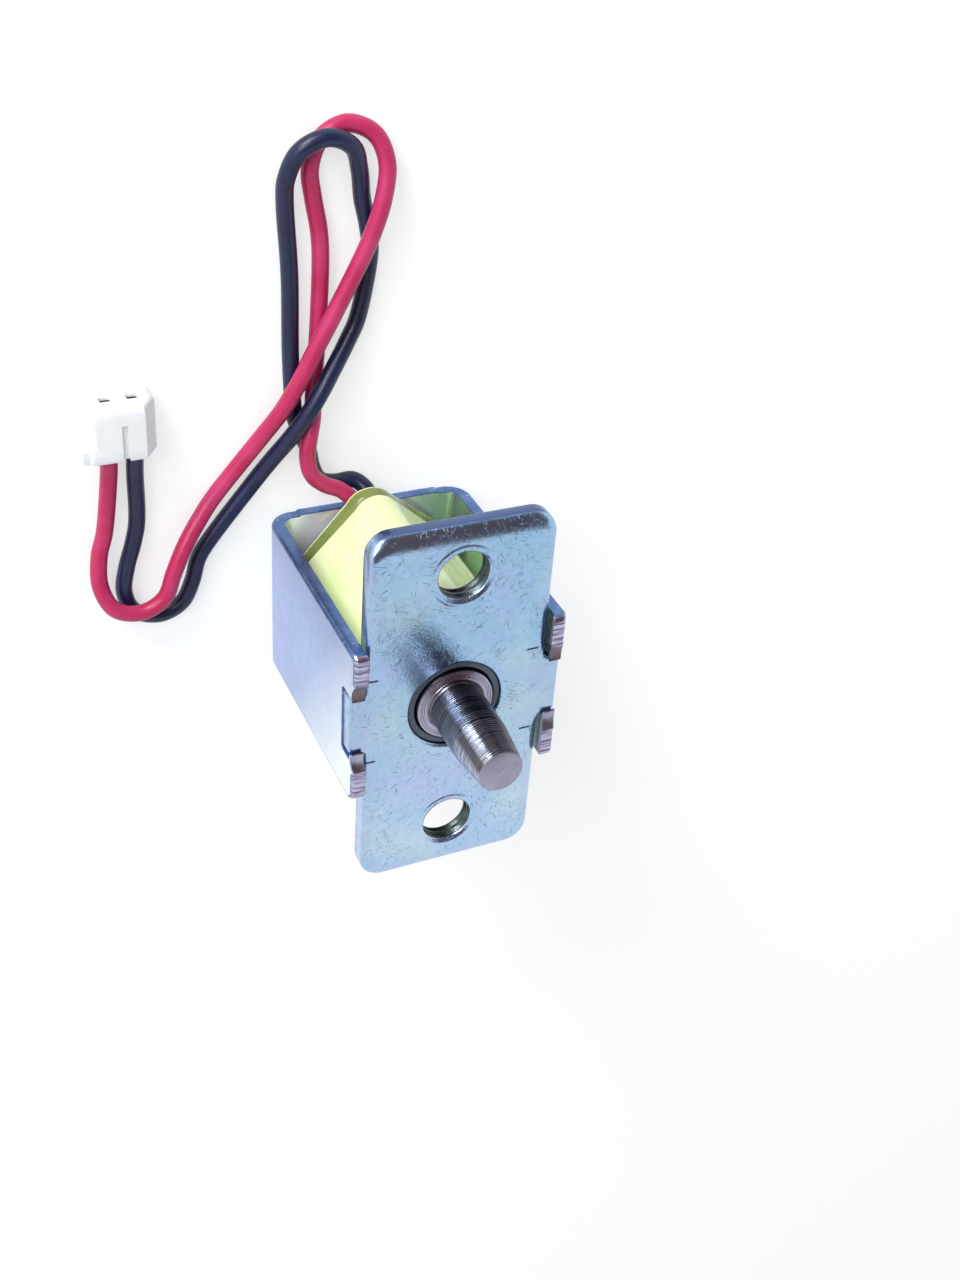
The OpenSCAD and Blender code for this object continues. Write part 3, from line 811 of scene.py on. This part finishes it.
def specks(paint, scale, size):
    """Mask of small round specks."""
    spot = paint.stretched((scale,) * 3)
    cells = add_node(paint.tree, "ShaderNodeTexVoronoi", {"Vector": spot, "Scale": 1.0})
    near = paint.step(cells.outputs["Distance"], size, size * 0.5)
    chance = paint.add("ShaderNodeSeparateColor", {0: cells.outputs["Color"]}, "Red")
    return paint.math("MULTIPLY", near, paint.math("GREATER_THAN", chance, 0.62))


def zinc(name, base, tint, lilac, wear, mottled, grained):
    """Blue-passivated zinc: drifting tints, hair scratches, specks and a fine grain."""
    paint = Paint(name)
    drift = paint.noise(paint.stretched((0.16, 0.12, 0.16)), 2.0, 0.4)
    colour = paint.mix(paint.step(drift, 0.42, 0.66), base, tint)
    patch = paint.noise(paint.stretched((0.23, 0.2, 0.23), 40), 2.0, 0.6)
    colour = paint.mix(paint.step(patch, 0.5, 0.7, 0.0, 0.8), colour, lilac)
    mottle = paint.even(2.2, 4.0)
    colour = paint.mix(paint.step(mottle, 0.35, 0.75, 0.0, mottled), colour, (0.24, 0.33, 0.42))
    lines = paint.math("MULTIPLY", scratches(paint), wear)
    dots = paint.math("MULTIPLY", specks(paint, 1.3, 0.1), wear)
    marks = paint.math("MAXIMUM", lines, dots)
    colour = paint.mix(marks, colour, (0.05, 0.07, 0.12))
    paint.set(Base_Color=colour, Metallic=1.0, Roughness=paint.step(paint.even(1.1), 0.3, 0.7, 0.17, 0.27))
    height = paint.math("SUBTRACT", paint.even(5), paint.math("MULTIPLY", marks, 1.2))
    paint.bump(height, grained, 0.6)
    return paint


def press_marks(paint):
    """Mask of the four short lines that the staking tool left on the plate beside the tabs."""
    line_y, left_x, right_x = 2.9, -5.2, 4.62
    along = paint.math("SUBTRACT", paint.math("ABSOLUTE", paint.axis("Y")), line_y)
    bars = None
    for middle in (left_x, right_x):
        off = paint.math("ABSOLUTE", paint.math("SUBTRACT", paint.axis("X"), middle))
        bar = paint.step(off, 0.42, 0.3)
        bars = paint.math("MAXIMUM", bars, bar) if bars else bar
    return paint.math("MULTIPLY", paint.step(paint.math("ABSOLUTE", along), 0.09, 0.04), bars)


def plate_zinc():
    """The plate's zinc, worn along its rim and with press marks; painted light brightens it below, painted
    shade darkens its upper edge.
    """
    paint = zinc("zinc_plate", (0.33, 0.54, 0.78), (0.44, 0.62, 0.74), (0.4, 0.52, 0.82), 0.6, 0.2, 0.018)
    # Painted light: the plate is made brighter towards its lower end.
    below = paint.step(paint.axis("Y"), 0.0, -8.0)
    colour = paint.mix(below, paint.colour(), (1.26, 1.13, 1.1), "MULTIPLY")
    sides = paint.step(paint.math("ABSOLUTE", paint.axis("X")), 4.6, 5.4)
    rim = paint.math("MAXIMUM", sides, paint.step(paint.axis("Y"), -11.1, -11.8))
    worn = paint.step(paint.even(2.4, 4.0), 0.38, 0.6, 0.1, 0.6)
    colour = paint.mix(paint.math("MULTIPLY", rim, worn), colour, (0.43, 0.5, 0.72))
    colour = paint.mix(press_marks(paint), colour, (0.03, 0.045, 0.08))
    # Painted shade: faces whose normal points towards +Y, the upper rolled edge, are darkened to navy.
    facing = paint.add("ShaderNodeSeparateXYZ", {0: paint.add("ShaderNodeTexCoord", {}, "Normal")}, "Y")
    paint.set(Base_Color=paint.mix(paint.step(facing, 0.7, 0.9), colour, (0.1, 0.15, 0.31)))
    return paint.material


def frame_zinc():
    """The frame's smoother zinc, with painted shade darkening its upper part and a painted reflection of the
    white floor paling it towards the plate and the lower edge.
    """
    paint = zinc("zinc_frame", (0.31, 0.42, 0.73), (0.35, 0.46, 0.76), (0.33, 0.41, 0.7), 0.25, 0.04, 0.005)
    # Painted shade: the frame is darkened towards its upper edge.
    above = paint.step(paint.axis("Y"), 1.5, 5.0, 0.0, 0.4)
    colour = paint.mix(above, paint.colour(), (0.14, 0.19, 0.34))
    # Painted reflection of the white floor: the frame grows pale towards the plate and the lower edge.
    floor_reflection_ramp = paint.math("SUBTRACT", paint.axis("Z"), paint.math("MULTIPLY", paint.axis("Y"), 0.8))
    paint.set(Base_Color=paint.mix(paint.step(floor_reflection_ramp, 9.0, 17.0, 0.0, 0.95), colour, (0.92, 0.98, 1.0)))
    return paint.material


def inner_zinc():
    """Inside of the frame: dull on the left, greener on the right as a painted reflection of the yellow tape,
    and darker at the tabs as painted shade.
    """
    paint = zinc("zinc_inside", (0.78, 0.86, 0.94), (0.82, 0.89, 0.94), (0.8, 0.86, 0.95), 0.06, 0.05, 0.006)
    across = paint.axis("X")
    # Painted reflection: the inside turns green towards the right, as the yellow tape mirrored in it.
    colour = paint.mix(paint.step(across, 1.0, 5.0), paint.colour(), (0.5, 0.68, 0.56))
    # Painted shade: the inside is darkened from the plate's back to the tab ends.
    colour = paint.mix(paint.step(paint.axis("Z"), PLATE_BACK, FRAME_DEPTH), colour, (0.2, 0.21, 0.27))
    paint.set(Base_Color=colour, Metallic=paint.step(across, 1.0, 5.0, 0.25, 0.8))
    return paint.material


def cut_edge():
    """Sheared edge of the sheet, painted darker than the faces as a dark reflection, with bright specks
    painted as glints.
    """
    paint = Paint("cut_edge")
    # Painted reflection: the navy darkness of the edge; painted glints: its bright specks.
    colour = paint.mix(paint.step(paint.even(0.8), 0.35, 0.7), (0.09, 0.16, 0.36), (0.17, 0.28, 0.54))
    colour = paint.mix(specks(paint, 2.2, 0.16), colour, (0.62, 0.7, 0.88))
    grain = paint.even(6)
    paint.set(Base_Color=colour, Metallic=1.0, Roughness=paint.step(grain, 0.3, 0.7, 0.24, 0.4))
    paint.bump(grain, 0.02, 0.7)
    return paint.material


def sheared():
    """End of a tab, torn across in fine lines."""
    paint = Paint("sheared_end")
    lines = paint.noise(paint.stretched((0.5, 7, 0.5)), 3.0, 0.3)
    colour = paint.mix(paint.step(lines, 0.4, 0.6), (0.2, 0.18, 0.3), (0.58, 0.56, 0.78))
    paint.set(Base_Color=colour, Metallic=1.0, Roughness=paint.step(lines, 0.3, 0.7, 0.42, 0.28))
    paint.bump(lines, 0.03, 0.8)
    return paint.material


def staked():
    """Hollow that the staking tool pressed into a tab: smooth, with painted shade making it dark brown on the
    two upper tabs.
    """
    paint = Paint("staked_face")
    drift = paint.even(1.6)
    colour = paint.mix(paint.step(drift, 0.35, 0.7), (0.24, 0.27, 0.38), (0.46, 0.48, 0.6))
    # Painted shade: the hollows on the two upper tabs, at Y above zero, are darkened to brown.
    colour = paint.mix(paint.step(paint.axis("Y"), -0.5, 0.5), colour, (0.16, 0.13, 0.15))
    paint.set(Base_Color=colour, Metallic=1.0, Roughness=paint.step(drift, 0.3, 0.7, 0.26, 0.4))
    paint.bump(drift, 0.03, 0.6)
    return paint.material


def turned_steel():
    """Turned plunger: bands that follow the tool and grime, painted shade on one side and on the taper, and
    painted highlights on the taper: pale bands on its left and a streak.
    """
    paint = Paint("turned_steel")
    bands = paint.noise(paint.stretched((0.05, 0.05, 5)), 3.0)
    colour = paint.mix(paint.step(bands, 0.35, 0.68), (0.17, 0.16, 0.19), (0.26, 0.25, 0.29))
    grime = paint.noise(paint.stretched((1.4, 1.4, 0.9)), 3.0, 0.5)
    colour = paint.mix(paint.step(grime, 0.5, 0.75, 0.0, 0.7), colour, (0.13, 0.11, 0.13))
    # Painted shade: the side of the rod along this direction is darkened.
    right = (0.88, 0.48, 0)
    across = paint.add("ShaderNodeVectorMath", {0: paint.mm, 1: right}, "Value", operation="DOT_PRODUCT")
    colour = paint.mix(paint.step(across, 0.2, 0.7, 0.0, 0.9), colour, (0.05, 0.045, 0.06))
    # Painted shade: the taper is darkened.
    taper = paint.step(paint.axis("Z"), ROD_TIP - TAPER_L - 0.3, ROD_TIP - TAPER_L + 0.3)
    colour = paint.mix(paint.math("MULTIPLY", taper, 0.65), colour, (0.08, 0.075, 0.09))
    # Painted highlights: pale bands on the taper's left side and a streak just left of its middle.
    left = paint.step(across, -0.95, -1.2)
    streak_highlight = paint.step(paint.math("ABSOLUTE", paint.math("ADD", across, 0.25)), 0.38, 0.2)
    lit = paint.math("MULTIPLY", paint.math("MAXIMUM", left, streak_highlight), taper)
    lit = paint.math("MULTIPLY", lit, paint.step(bands, 0.4, 0.58, 0.2, 0.9))
    colour = paint.mix(lit, colour, (0.66, 0.67, 0.78))
    paint.set(Base_Color=colour, Metallic=1.0, Roughness=paint.step(bands, 0.3, 0.7, 0.24, 0.15))
    paint.bump(paint.noise(paint.stretched((0.4, 0.4, 14)), 2.0), 0.006, 0.6)
    return paint.material


def faced_steel(name, rough):
    """Faced steel, nearly even."""
    paint = Paint(name)
    grain = paint.even(9)
    colour = paint.mix(paint.step(paint.even(0.9, 2.0), 0.3, 0.7), (0.34, 0.335, 0.45), (0.42, 0.41, 0.53))
    paint.set(Base_Color=colour, Metallic=1.0)
    paint.set(Roughness=paint.step(grain, 0.3, 0.7, rough - 0.08, rough + 0.08))
    paint.bump(grain, 0.008, 0.5)
    return paint.material


def tape_film(name, pale, deep):
    """Yellow polyester film, drawn into faint ripples."""
    paint = Paint(name)
    drift = paint.noise(paint.stretched((0.5, 0.5, 0.22)), 3.0, 0.4)
    colour = paint.mix(paint.step(drift, 0.35, 0.7), pale, deep)
    ripple = paint.noise(paint.stretched((1.2, 1.2, 0.35)), 3.0)
    paint.set(Base_Color=colour, Roughness=paint.step(ripple, 0.3, 0.7, 0.16, 0.28))
    paint.bump(ripple, 0.05, 0.5)
    return paint.material


def insulation(name, colour, worn, rough):
    """Extruded sleeve with a slight bloom and a fine grain."""
    paint = Paint(name)
    grain = paint.even(7)
    tone = paint.mix(paint.step(paint.even(0.45), 0.4, 0.7), colour, worn)
    paint.set(Base_Color=tone, Specular_IOR_Level=0.45)
    paint.set(Roughness=paint.step(grain, 0.3, 0.7, rough - 0.08, rough + 0.1))
    paint.bump(grain, 0.006, 0.5)
    return paint.material


def moulded(name, low, high, rough):
    """Moulded plastic with a faint grain."""
    paint = Paint(name)
    grain = paint.even(8)
    paint.set(Base_Color=paint.mix(paint.step(paint.even(0.7), 0.35, 0.7), low, high))
    paint.set(Roughness=paint.step(grain, 0.3, 0.7, rough - 0.06, rough + 0.08))
    paint.bump(grain, 0.008, 0.5)
    return paint.material


def plain_metal(name, low, high, rough):
    """Bare or plated metal with a drifting tone and a fine grain."""
    paint = Paint(name)
    grain = paint.even(8)
    paint.set(Base_Color=paint.mix(paint.step(paint.even(1.2), 0.35, 0.7), low, high), Metallic=1.0)
    paint.set(Roughness=paint.step(grain, 0.3, 0.7, rough - 0.06, rough + 0.1))
    paint.bump(grain, 0.008, 0.5)
    return paint.material


# Studio

def shown(tree):
    """One where a ray comes from the camera, a reflection or a see-through surface."""
    path = add_node(tree, "ShaderNodeLightPath", {})
    total = path.outputs["Is Camera Ray"]
    for name in ("Is Glossy Ray", "Is Transmission Ray"):
        pair = {0: total, 1: path.outputs[name]}
        total = add_node(tree, "ShaderNodeMath", pair, operation="MAXIMUM").outputs[0]
    return total


def make_floor():
    """White floor that keeps the object's shadow: most of its white is its own. Its size is in metres."""
    material = bpy.data.materials.new("floor_white")
    material.use_nodes = True
    tree = material.node_tree
    shader = tree.nodes["Principled BSDF"]
    shader.inputs["Roughness"].default_value = 1.0
    shader.inputs["Specular IOR Level"].default_value = 0.0
    shader.inputs["Emission Color"].default_value = (1, 1, 1, 1)
    seen = shown(tree)
    greys = {0: seen, 6: (0.8, 0.8, 0.8, 1), 7: (0.5, 0.5, 0.5, 1)}
    colour = add_node(tree, "ShaderNodeMix", greys, data_type="RGBA")
    tree.links.new(colour.outputs[2], shader.inputs["Base Color"])
    glow = add_node(tree, "ShaderNodeMath", {0: seen, 1: 0.6}, operation="MULTIPLY")
    tree.links.new(glow.outputs[0], shader.inputs["Emission Strength"])
    mesh = bpy.data.meshes.new("floor")
    half = 2
    corners = [(-half, -half, 0), (half, -half, 0), (half, half, 0), (-half, half, 0)]
    mesh.from_pydata(corners, [], [(0, 1, 2, 3)])
    mesh.materials.append(material)
    floor = bpy.data.objects.new("floor", mesh)
    scene.collection.objects.link(floor)


def make_world():
    """Soft white dome, darker behind the camera, where the photographer stands."""
    world = bpy.data.worlds.new("studio")
    scene.world = world
    world.use_nodes = True
    tree = world.node_tree
    lit = tree.nodes["Background"]
    lit.inputs["Color"].default_value = (0.93, 0.97, 1.0, 1)
    lit.inputs["Strength"].default_value = 0.58
    spot = add_node(tree, "ShaderNodeTexCoord", {}).outputs["Generated"]
    behind = Vector((0.12, 0.43, 0.89)).normalized()
    towards = add_node(tree, "ShaderNodeVectorMath", {0: spot, 1: behind}, operation="DOT_PRODUCT")
    limits = {"From Min": 0.6, "From Max": 0.76, "To Min": 0.0, "To Max": 1.0}
    limits["Value"] = towards.outputs["Value"]
    shade = add_node(tree, "ShaderNodeMapRange", limits, interpolation_type="SMOOTHSTEP")
    path = add_node(tree, "ShaderNodeLightPath", {})
    parts = {0: shade.outputs[0], 1: path.outputs["Is Camera Ray"]}
    level = add_node(tree, "ShaderNodeMath", parts, operation="SUBTRACT", use_clamp=True)
    tones = {0: level.outputs[0], 6: (1, 1, 1, 1), 7: (0.17, 0.1, 0.1, 1)}
    colour = add_node(tree, "ShaderNodeMix", tones, data_type="RGBA")
    white = add_node(tree, "ShaderNodeBackground", {"Color": colour.outputs[2]})
    both = add_node(tree, "ShaderNodeMixShader", {0: shown(tree), 1: lit.outputs[0], 2: white.outputs[0]})
    tree.links.new(both.outputs[0], tree.nodes["World Output"].inputs["Surface"])


def make_lamp(name, direction, distance, size, energy):
    """Square lamp that faces the origin; its distance and size are in metres."""
    data = bpy.data.lights.new(name, "AREA")
    data.size = size
    data.energy = energy
    lamp = bpy.data.objects.new(name, data)
    lamp.location = Vector(direction).normalized() * distance
    lamp.rotation_euler = Vector(direction).to_track_quat("Z", "Y").to_euler()
    scene.collection.objects.link(lamp)


make_camera()
red_sleeve = insulation("red_insulation", (0.48, 0.016, 0.09), (0.55, 0.035, 0.15), 0.36)
black_sleeve = insulation("black_insulation", (0.006, 0.009, 0.042), (0.012, 0.018, 0.07), 0.34)
red_points = lead_points(RED_START, RED_ROUTE, -1)
black_points = lead_points(BLACK_START, BLACK_ROUTE, 1)
red = make_lead("red_wire", "red_lead", red_points, red_sleeve)
black = make_lead("black_wire", "black_lead", black_points, black_sleeve)
housing = make_housing([moulded("ivory_nylon", (0.86, 0.86, 0.9), (0.92, 0.92, 0.94), 0.38)])

film = tape_film("tape", (0.9, 0.96, 0.58), (0.8, 0.94, 0.44))
film_edge = tape_film("tape_edge", (0.8, 0.84, 0.4), (0.9, 0.95, 0.6))
# The free margin of the film is dark olive: partly its own look with no winding behind it, partly painted
# shade in the gap at the rear wall.
film_margin = tape_film("tape_margin", (0.17, 0.2, 0.05), (0.26, 0.3, 0.09))
copper = plain_metal("magnet_wire", (0.42, 0.17, 0.06), (0.6, 0.28, 0.12), 0.3)
core = plain_metal("core_steel", (0.3, 0.3, 0.32), (0.42, 0.42, 0.44), 0.32)
solder = plain_metal("solder", (0.5, 0.51, 0.52), (0.66, 0.67, 0.68), 0.35)
brass = plain_metal("contact_brass", (0.55, 0.5, 0.36), (0.68, 0.64, 0.5), 0.28)
tapped = plain_metal("tapped_steel", (0.05, 0.065, 0.075), (0.12, 0.155, 0.165), 0.3)
make_frame([frame_zinc(), cut_edge(), sheared(), inner_zinc(), staked()])
make_plate([plate_zinc(), tapped])
make_plunger([turned_steel(), faced_steel("faced_steel", 0.5), faced_steel("shoulder_steel", 0.26)])
make_bobbin([moulded("nylon", (0.045, 0.065, 0.1), (0.07, 0.095, 0.14), 0.35)])
make_coil([copper])
make_tape([film, film_edge, film_margin, film_edge])

# Pieces that stay as CAD made them and only take a material
plain_nodes = {
    "fixed_core": core, "under_wrap": film, "red_joint": solder, "black_joint": solder,
    "start_tail": copper, "finish_tail": copper, "red_terminal": brass, "black_terminal": brass,
}
for node, material in plain_nodes.items():
    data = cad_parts[node].data
    data.materials.clear()
    data.materials.append(material)

make_floor()
make_world()
make_lamp("key_lamp", (-0.5, 0.81, 0.3), 0.3, 0.1, 0.55)
make_lamp("fill_lamp", (-0.57, 0.5, 0.65), 0.35, 0.12, 0.35)
